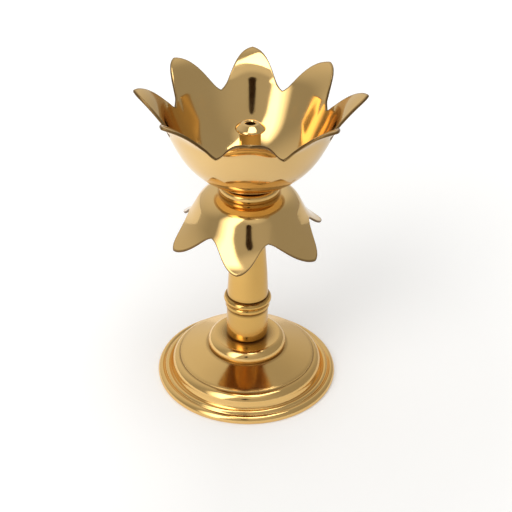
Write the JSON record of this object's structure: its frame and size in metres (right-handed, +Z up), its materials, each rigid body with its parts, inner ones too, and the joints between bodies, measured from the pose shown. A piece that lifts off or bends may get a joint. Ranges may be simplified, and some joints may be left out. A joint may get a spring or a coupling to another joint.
{
  "type": "diya oil lamp",
  "caption": "Standing brass oil lamp: a lotus cup with curled petals and a wick holder, over a petal skirt, a slim turned stem and a round hollow foot.",
  "frame": {"origin": "centre of the circle that the foot rests on", "axes": "+Z up along the stem, -Y towards the petal that faces the viewer, +X to the viewer's right"},
  "size_m": [0.082, 0.082, 0.12],
  "materials": {
    "polished_brass": "mirror polished yellow brass with fine buffing scratches and faint turned rings",
    "turned_brass": "turned brass, polished but slightly duller than the spun sheet",
    "plated_steel": "zinc plated steel, satin"
  },
  "bodies": {
    "root": {"base_foot": "polished_brass", "base_boss": "polished_brass", "stem_lower": "polished_brass", "stem_ring": "polished_brass", "stem_upper": "polished_brass", "petal_skirt": "polished_brass", "collar": "turned_brass", "tie_rod": "plated_steel", "rod_washer": "plated_steel", "rod_nut": "plated_steel"},
    "bowl": {"lotus_bowl": "polished_brass"},
    "wick_holder": {"wick_holder": "turned_brass"}
  },
  "joints": [
    {"name": "bowl_lift", "type": "slide", "parent": "root", "child": "bowl", "axis": [0, 0, 1], "range_m": [0, 0.03]},
    {"name": "wick_holder_lift", "type": "slide", "parent": "bowl", "child": "wick_holder", "axis": [0, 0, 1], "range_m": [0, 0.015]}
  ]
}
